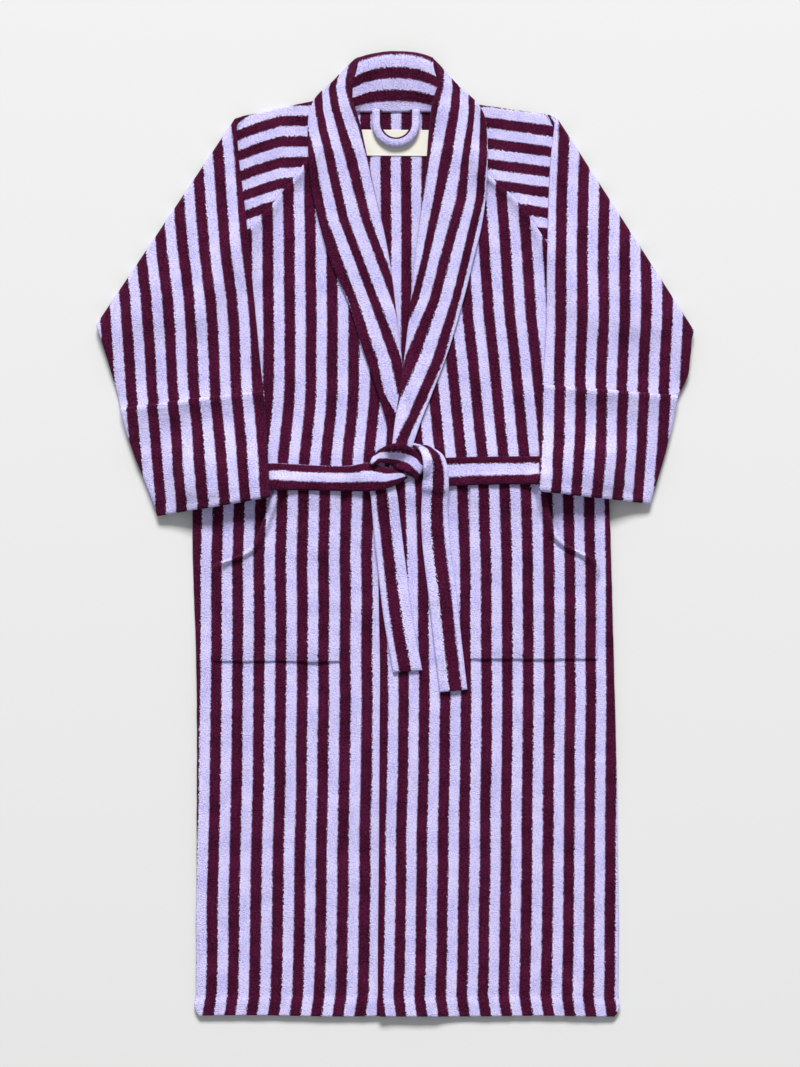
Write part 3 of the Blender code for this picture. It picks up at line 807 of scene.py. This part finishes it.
def folded_band(name, rows, stripes, seed, flip):
    """A band of cloth folded along its inner edge, with its two layers closed at its outer edge."""
    rows = np.array(rows, float)
    length = np.linalg.norm(np.diff((rows[:, :2] + rows[:, 2:4]) / 2, axis=0), axis=1).sum()
    rows = smooth_rows(rows, spaced(length, 0.0034))
    top_share = np.concatenate([[0.0, 0.006, 0.018, 0.04], np.linspace(0.07, 1.0, 24)])
    arc = np.linspace(0, math.pi, 11)[1:-1]
    low_share = np.linspace(1.0, 0.0, 12)
    outer, inner, radius = rows[:, :2], rows[:, 2:4], rows[:, 4]
    width = np.linalg.norm(inner - outer, axis=1)
    way = (inner - outer) / width[:, None]
    flat = (width - radius)[:, None]
    round_fold = flat + radius[:, None] * 0.62 * np.sin(arc)
    reach = np.concatenate([flat * top_share, round_fold, flat * low_share], axis=1)
    x = outer[:, 0:1] + way[:, 0:1] * reach
    y = outer[:, 1:2] + way[:, 1:2] * reach
    base = drape(x, y, 0.0, 24)
    base_at_fold = base[:, len(top_share) - 1][:, None]
    rise = (2 * radius - DOUBLE)[:, None]
    share = top_share[None, :]
    swell = rise * np.clip((share - 0.25) / 0.75, 0, 1) ** 1.5 + 0.0012 * np.sin(np.pi * share)
    top_z = base[:, :len(top_share)] + DOUBLE - COLLAR_LAYER / 2 + swell
    inner_radius = radius[:, None] - COLLAR_LAYER / 2
    arc_z = base_at_fold + radius[:, None] + inner_radius * np.cos(arc)
    low_z = base[:, -len(low_share):] + COLLAR_LAYER / 2
    z = np.concatenate([top_z, arc_z, low_z], axis=1)
    u = band_weave(stripes, x, y) + 0.6 * stripe_drift(x, y)
    u_fold = u[:, len(top_share) - 1:len(top_share)]
    round_turned = radius[:, None] * arc
    under_turned = radius[:, None] * math.pi + flat * (1 - low_share)
    turned = np.concatenate([round_turned, under_turned], axis=1)
    u[:, len(top_share):] = u_fold + turned / PAIR * (-1 if flip else 1)
    steps = np.linalg.norm(np.diff((outer + inner) / 2, axis=0), axis=1)
    v = np.broadcast_to(np.concatenate([[0], np.cumsum(steps)])[:, None], u.shape)
    relief = terry_relief(x, y, seed) * 0.8 + groove(np.minimum(reach, 1.0), 0.008, 0.0006, 0.002)
    relief[:, len(top_share):] = 0
    points = np.stack([x, y, z], -1)
    if flip:
        points, u, v, relief = points[:, ::-1], u[:, ::-1], v[:, ::-1], relief[:, ::-1]
    obj = cloth(name, points, (u, v), COLLAR_LAYER, (), None, relief, terry_cloth)
    top = (points[:, ::-1] if flip else points)[:, :len(top_share) + len(arc)].copy()
    top[..., 2] += COLLAR_LAYER / 2 + 0.0002
    heap(top)
    return obj


right_band = folded_band("collar_band_right_cloth", RIGHT_BAND, RIGHT_BAND_STRIPES, 81, False)
declare(right_band, "root", ["collar_band_right"])
left_band = folded_band("collar_band_left_cloth", LEFT_BAND, LEFT_BAND_STRIPES, 83, True)
declare(left_band, "root", ["collar_band_left"])

# the collar behind the neck: its stand rises from the neck seam, rolls over and falls outside
STAND = [  # y, z and the stripe's place, from the neck seam over the roll and down behind
    (0.554, 0.005, -0.45), (0.562, 0.0064, -0.21), (0.568, 0.008, 0.0), (0.5825, 0.0112, 0.505),
    (0.597, 0.0138, 1.0), (0.61, 0.0158, 1.46), (0.62, 0.0168, 1.78), (0.627, 0.0164, 2.0),
    (0.6306, 0.014, 2.12), (0.632, 0.0108, 2.25), (0.6312, 0.0072, 2.4), (0.628, 0.0044, 2.52),
    (0.622, 0.0026, 2.8), (0.61, 0.002, 3.2), (0.59, 0.0019, 3.8), (0.575, 0.0019, 4.3),
]
stand = np.array(STAND)
stand_rows = smooth_rows(np.concatenate([stand[:, :2], stand[:, :2], stand], axis=1), np.linspace(0, 1, 62))
stand_reach = np.interp(stand_rows[:, 6:7], [0.0, 1.2, 1.9, 2.3], [0.057, 0.056, 0.0495, 0.049])
stand_x = 0.0008 + stand_reach * np.linspace(-1, 1, 42)[None, :]
arch = np.clip(np.abs(stand_x - 0.001) / 0.05, 0, 1.1) ** 2.4  # the roll drops towards its ends
drop = np.interp(
    stand_rows[:, 6:7], [-0.4, 0.0, 1.0, 1.9, 2.15, 2.5], [0.0, 0.006, 0.01, 0.012, 0.0095, 0.009],
)
stand_y = stand_rows[:, 4:5] - arch * drop
stand_z = stand_rows[:, 5:6] + arch * np.interp(stand_rows[:, 5:6], [0.003, 0.008], [0.0, 0.0015])
stand_points = np.stack([np.broadcast_to(stand_x, stand_y.shape), stand_y, stand_z], -1)
collar_back = cloth(
    "collar_back_cloth", stand_points,
    (np.broadcast_to(stand_rows[:, 6:7], stand_y.shape), np.broadcast_to(stand_x, stand_y.shape)),
    COLLAR_LAYER, ("west", "east"), None, terry_relief(stand_points[..., 0], stand_y, 85) * 0.7,
    terry_cloth,
)
declare(collar_back, "root", ["collar_back"])

# ---------------------------------------------------------------- belt
# A ribbon of two layers of terry. It comes round each side, through a narrow loop on the side
# seam, and is tied once: one end hangs from under the knot, the other over its slanted band.


def ribbon_turns(edges):
    """Places across a ribbon, from 0 to 1, where maroon starts and ends by turns, and the weave's
    count there. Beyond the outer ones it goes on by half a pair."""
    places = [edges[0] - 0.5] + list(edges) + [edges[-1] + 0.5]
    turns = [k // 2 + (MAROON_SHARE if k % 2 else 0.0) for k in range(len(edges))]
    return places, [turns[0] - 0.495] + turns + [turns[-1] + (0.495 if len(edges) % 2 == 0 else 0.505)]


def ribbon(name, rows, edges, seed, thick=DOUBLE, stiff=20, step=0.0028, crown=0.0):
    """A length of belt laid on the pile. A row is the x and y of its first side and its second
    side, and seen along the rows the first side is on the left."""
    x, y, _, across = patch(rows, step)
    z = drape(x, y, thick, stiff) + crown * np.sin(np.pi * across)
    steps = np.hypot(np.diff(x.mean(1)), np.diff(y.mean(1)))
    run = np.concatenate([[0], np.cumsum(steps)])[:, None]
    u = np.broadcast_to(np.interp(across, *ribbon_turns(edges)), x.shape)
    points = np.stack([x, y, z], -1)
    relief = terry_relief(x * 1.6, y * 1.6, seed)
    obj = cloth(name, points, (u, np.broadcast_to(run, x.shape)), thick, (), None, relief, terry_cloth)
    top = points.copy()
    top[..., 2] += thick / 2
    heap(top)
    return obj


tail_under = ribbon(  # the wearer's right tail
    "belt_tail_right_cloth",
    [(-0.038, 0.076, -0.004, 0.078), (-0.033, 0.056, 0.002, 0.057),
     (-0.029, 0.02, 0.0065, 0.021), (-0.0237, -0.0342, 0.0132, -0.033),
     (-0.0145, -0.1132, 0.0237, -0.112), (-0.0025, -0.1815, 0.0358, -0.1785)],
    (0.22, 0.62), 101,
)
belt_front_right = ribbon(
    "belt_front_right_cloth",
    [(-0.2806, 0.095, -0.2806, 0.0585), (-0.15, 0.0925, -0.15, 0.0575), (-0.06, 0.0895, -0.06, 0.0562),
     (-0.0303, 0.0925, -0.0303, 0.0562), (-0.0132, 0.0868, -0.0118, 0.059),
     (0.0, 0.0842, 0.0039, 0.0655), (0.0118, 0.0803, 0.0165, 0.0735)],
    (0.02, 0.30, 0.64, 1.08), 71, crown=0.0012,
)
declare(belt_front_right, "root", ["belt_front_right"])
belt_front_left = ribbon(
    "belt_front_left_cloth",
    [(0.04, 0.099, 0.04, 0.061), (0.10, 0.101, 0.10, 0.064), (0.20, 0.102, 0.20, 0.065),
     (0.2942, 0.1025, 0.2942, 0.0655)],
    (-0.06, 0.24, 0.68, 1.08), 73, crown=0.0012,
)
declare(belt_front_left, "root", ["belt_front_left"])
for side, x, low_end in (("right", -0.244, 0.0445), ("left", 0.258, 0.054)):
    belt_loop = lay(
        f"belt_loop_{side}_cloth", [(x - 0.006, y, x + 0.006, y) for y in (low_end, 0.116)],
        lambda x, y: ((x + 0.006) / 0.028 + 0.4, y), seed=75, thick=0.0028, stiff=6, step=0.0025,
    )
    declare(belt_loop, "root", [f"belt_loop_{side}"])
knot_band = ribbon(
    "belt_knot_band",
    [(-0.0325, 0.0945, -0.031, 0.0895), (-0.023, 0.1075, -0.018, 0.0935),
     (-0.008, 0.1165, -0.006, 0.09), (0.011, 0.1175, 0.006, 0.085),
     (0.028, 0.108, 0.018, 0.078), (0.043, 0.096, 0.029, 0.069)],
    (-0.05, 0.28, 0.64, 1.07), 105, thick=0.0075, stiff=6, crown=0.003,
)
declare(knot_band, "root", ["belt_knot"])
tail_over = ribbon(  # the wearer's left tail
    "belt_tail_left_cloth",
    [(0.043, 0.115, 0.0225, 0.118), (0.0545, 0.109, 0.03, 0.113), (0.064, 0.101, 0.035, 0.102),
     (0.0685, 0.089, 0.0368, 0.09), (0.0705, 0.07, 0.0368, 0.069), (0.0695, 0.04, 0.0345, 0.037),
     (0.072, -0.005, 0.0355, -0.008), (0.08, -0.068, 0.043, -0.074),
     (0.0868, -0.134, 0.0505, -0.14), (0.095, -0.204, 0.0585, -0.2075)],
    (0.21, 0.63), 103, stiff=10, crown=0.0018,
)
for tail, joint, length in ((tail_under, "belt_tail_right", 0.262), (tail_over, "belt_tail_left", 0.345)):
    tail_bend = ("root", joint, (0.0, 0.065, 0.02), (0.0, 0.048, 0.02))
    declare(tail, tail_bend, [joint])

# ---------------------------------------------------------------- sleeves
# The lower part of each sleeve is folded over at the shoulder-to-elbow crease, and lies across
# the chest and the side. Its two layers are one cloth with the head's, which turns over there.
CREASE_HEIGHT = 0.0069  # above the floor, of the line that both layers turn round
CREASE_INSET = 0.0066  # of the same line, inside the fold's outer edge
FRONT_RADIUS = 0.0018  # of the front layer's turn, which lies inside the back layer's
BACK_RADIUS = 0.0054
SLEEVE_INNER = {
    "right": [(-0.2055, 0.495), (-0.1985, 0.44), (-0.1905, 0.365), (-0.183, 0.285),
              (-0.177, 0.225), (-0.1724, 0.185)],
    "left": [(0.2045, 0.49), (0.2015, 0.43), (0.20, 0.365), (0.199, 0.285), (0.1962, 0.225),
             (0.193, 0.193)],
}
SLEEVE_OUTER = {
    "right": [(-0.385, 0.254), (-0.38, 0.24), (-0.374, 0.22), (-0.368, 0.199),
              (-0.363, 0.179), (-0.3593, 0.162)],
    "left": [(0.3885, 0.254), (0.3878, 0.242), (0.3865, 0.228), (0.384, 0.208), (0.3775, 0.193),
             (0.37, 0.1795)],
}
SLEEVE_STRIPE = {
    "right": [(0.0447, -0.2008), (0.0711, -0.2033), (0.1237, -0.2079), (0.1763, -0.2125),
              (0.1895, -0.2145), (0.2685, -0.2185), (0.3079, -0.2211), (0.3737, -0.229),
              (0.4395, -0.2342), (0.55, -0.244)],
    "left": [(0.0487, 0.20), (0.0711, 0.2017), (0.1237, 0.2058), (0.1763, 0.2066), (0.2027, 0.2079),
             (0.2816, 0.2099), (0.3869, 0.2099), (0.4395, 0.2112), (0.5053, 0.2132), (0.56, 0.2145)],
}
SLEEVE_PERIOD = {
    "right": [(0.04, 0.028), (0.19, 0.0277), (0.27, 0.0279), (0.55, 0.0279)],
    "left": [(0.04, 0.0271), (0.20, 0.0276), (0.32, 0.0279), (0.55, 0.0279)],
}


def sleeve_layer(name, side, strip, radius, weave, seed, settle, puff, curl):
    """One layer of a lower sleeve with its turn at the crease and the strip under it.

    strip is the depth where it meets the head, radius is the turn's, settle gives its lowest
    height by the depth inside the fold, and curl is how its long edges close on the other layer.
    """
    fold = CREASE[side]
    inboard = np.array(fold["inboard"])
    along = np.array(fold["elbow"]) - np.array(fold["shoulder"])
    along = along / np.linalg.norm(along)
    corners = (("shoulder", HEAD_TOP, SLEEVE_INNER), ("elbow", HEAD_UNDER, SLEEVE_OUTER))
    ends = [  # the fold's end, and how the cloth's edge runs below and above the fold there
        (np.array(fold[corner]), np.array(under[side]), np.array(over[side][0]) - np.array(fold[corner]))
        for corner, under, over in corners
    ]
    rows, heights, unfolded = [], [], []
    turn_length = math.pi * radius
    strip_rows = max(2, round((strip - CREASE_INSET) / 0.0025))
    for depth in np.linspace(strip, CREASE_INSET, strip_rows + 1)[:-1]:
        rows.append([edge_point(base, under, inboard, depth) for base, under, _ in ends])
        heights.append(CREASE_HEIGHT - radius)
        unfolded.append(CREASE_INSET - turn_length - (depth - CREASE_INSET))
    arc_rows = 15 if radius > 0.003 else 9
    for angle in np.linspace(math.pi, 0, arc_rows):
        pair = []
        for base, under, over in ends:
            low = edge_point(base, under, inboard, CREASE_INSET) - base
            high = edge_point(base, over, inboard, CREASE_INSET) - base
            slide = low @ along * (angle / math.pi) + high @ along * (1 - angle / math.pi)
            pair.append(base + along * slide + inboard * (CREASE_INSET - radius * math.sin(angle)))
        rows.append(pair)
        heights.append(CREASE_HEIGHT + radius * math.cos(angle))
        unfolded.append(CREASE_INSET - radius * angle)
    turn_rows = len(rows)
    stations = [tuple(rows[-1][0]) + tuple(rows[-1][1])]
    stations += [inner + outer for inner, outer in zip(SLEEVE_INNER[side], SLEEVE_OUTER[side])]
    middles = (np.array(stations)[:, :2] + np.array(stations)[:, 2:]) / 2
    length = np.linalg.norm(np.diff(middles, axis=0), axis=1).sum()
    places = np.concatenate([[0.0], spaced(length, 0.0034)[4:]])
    lower = smooth_rows(stations, places)[1:]
    inner = np.concatenate([[row[0] for row in rows], lower[:, :2]])
    outer = np.concatenate([[row[1] for row in rows], lower[:, 2:4]])
    if side == "left":
        inner, outer = outer, inner
    across = spaced(0.235, 0.0036)[None, :]
    x = inner[:, 0:1] * (1 - across) + outer[:, 0:1] * across
    y = inner[:, 1:2] * (1 - across) + outer[:, 1:2] * across
    depth = (x - fold["shoulder"][0]) * inboard[0] + (y - fold["shoulder"][1]) * inboard[1]
    z = np.zeros_like(x)
    z[:turn_rows] = np.array(heights)[:, None]
    first = turn_rows - 1
    share = np.linspace(0, 1, x.shape[0] - first)[:, None]
    low = drape(x[first:], y[first:], TERRY, 30, settle(depth[first:]))
    low[0] = CREASE_HEIGHT + radius
    z[first:] = low + puff(np.broadcast_to(across, low.shape), np.broadcast_to(share, low.shape))
    z[first] = CREASE_HEIGHT + radius
    flat_depth = depth.copy()
    flat_depth[:turn_rows] = np.array(unfolded)[:, None]
    shift = flat_depth - depth
    u_low, v_low = weave(x + inboard[0] * shift, y + inboard[1] * shift)
    u_head, _ = head_weave(side)(x, y)
    whole = round(float(np.mean(u_low[turn_rows - 1] - u_head[turn_rows - 1])))
    behind = CREASE_INSET - turn_length / 2 - flat_depth
    share = np.clip(behind / (turn_length / 2 + strip - CREASE_INSET), 0, 1)
    u = u_low * (1 - share) + (u_head + whole) * share + stripe_drift(x, y)
    points = np.stack([x, y, z], -1)
    relief = terry_relief(x, y, seed)
    relief = relief * np.clip((np.arange(x.shape[0]) - turn_rows) / 6, 0.0, 1.0)[:, None]
    lean = {"west": curl, "east": curl}
    obj = cloth(name, points, (u, v_low), TERRY, ("first",), lean, relief, terry_cloth)
    top = points[first:].copy()
    top[..., 2] += TERRY / 2
    heap(top)
    return obj


CUFF_OUTER = {
    "right": [(-0.3106, 0.0237), (-0.3185, 0.0461), (-0.331, 0.078), (-0.3435, 0.1092),
              (-0.353, 0.137), (-0.36, 0.164)],
    "left": [(0.3343, 0.0395), (0.3369, 0.0487), (0.3455, 0.076), (0.354, 0.105), (0.363, 0.14),
             (0.3705, 0.1805)],
}
CUFF_INNER = {
    "right": [(-0.1632, 0.0487), (-0.1645, 0.07), (-0.1665, 0.10), (-0.1685, 0.128),
              (-0.1705, 0.157), (-0.172, 0.187)],
    "left": [(0.1885, 0.0566), (0.1887, 0.07), (0.1892, 0.10), (0.1905, 0.13), (0.1915, 0.16),
             (0.193, 0.1945)],
}
CUFF_SHIFT = {"right": 0.03, "left": -0.05}  # of its stripes, in pairs


def rising(side, value):
    """The point straight in from the shoulder where height plus a tenth of the depth is this."""
    base, inboard = CREASE[side]["shoulder"], CREASE[side]["inboard"]
    tilt = (0.1 * inboard[0], 0.1 * inboard[1], 1.0)
    size = tilt[0] ** 2 + tilt[1] ** 2 + 1.0
    return (base[0] + tilt[0] * value / size, base[1] + tilt[1] * value / size, value / size)


def sewn_in(v):
    """From 0 to 1 where a cuff comes to its seam, with the sleeve's end between its layers."""
    return np.clip((v - 0.80) / 0.20, 0, 1) ** 1.5


for side in ("right", "left"):
    sleeve_weave = stripes_along_y(SLEEVE_STRIPE[side], SLEEVE_PERIOD[side])

    def cuff_weave(x, y, weave=sleeve_weave, shift=CUFF_SHIFT[side]):
        return weave(x, y)[0] + shift, y

    front_layer = sleeve_layer(
        f"sleeve_{side}_front_turn", side, FRONT_CUT, FRONT_RADIUS, sleeve_weave, 91,
        lambda depth: np.clip(0.0079 - 0.1 * depth, 0, 1), lambda u, v: 0.0, 0.8,
    )
    front_bend = ("root", f"sleeve_{side}", rising(side, 0.00755), rising(side, 0.00785))
    declare(front_layer, front_bend, [f"sleeve_{side}_front_lower"])
    cuff_stations = from_west(side, CUFF_OUTER[side], CUFF_INNER[side])
    cuff_front = lay(
        f"cuff_{side}_front_cloth", cuff_stations, cuff_weave, 95, thick=DOUBLE, step=0.0036,
        lean={"west": 0.7, "east": 0.7}, stiff=36, puff=lambda u, v, x, y: -0.0040 * sewn_in(v),
    )
    declare(cuff_front, f"sleeve_{side}", [f"cuff_{side}_front"])
    back_layer = sleeve_layer(
        f"sleeve_{side}_back_turn", side, BACK_CUT, BACK_RADIUS, sleeve_weave, 97,
        lambda depth: np.clip(0.0115 - 0.1 * depth, 0, 1),
        lambda u, v: 0.0065 * np.sin(np.pi * u) ** 0.7 * np.clip(v / 0.25, 0, 1) ** 0.7, -0.8,
    )
    back_bend = ("root", f"sleeve_{side}", rising(side, 0.005), rising(side, 0.009))
    declare(back_layer, back_bend, [f"sleeve_{side}_back_lower"])
    cuff_back = lay(
        f"cuff_{side}_back_cloth", cuff_stations, cuff_weave, 99, thick=DOUBLE, step=0.0036,
        lean={"west": -0.7, "east": -0.7}, stiff=36,
        puff=lambda u, v, x, y: 0.0050 * np.sin(np.pi * u) ** 0.7 * (0.7 + 0.3 * v) - 0.0044 * sewn_in(v),
        folds=lambda x, y, span: groove(span["first"], 0.012, 0.0009),
    )
    declare(cuff_back, f"sleeve_{side}", [f"cuff_{side}_back"])
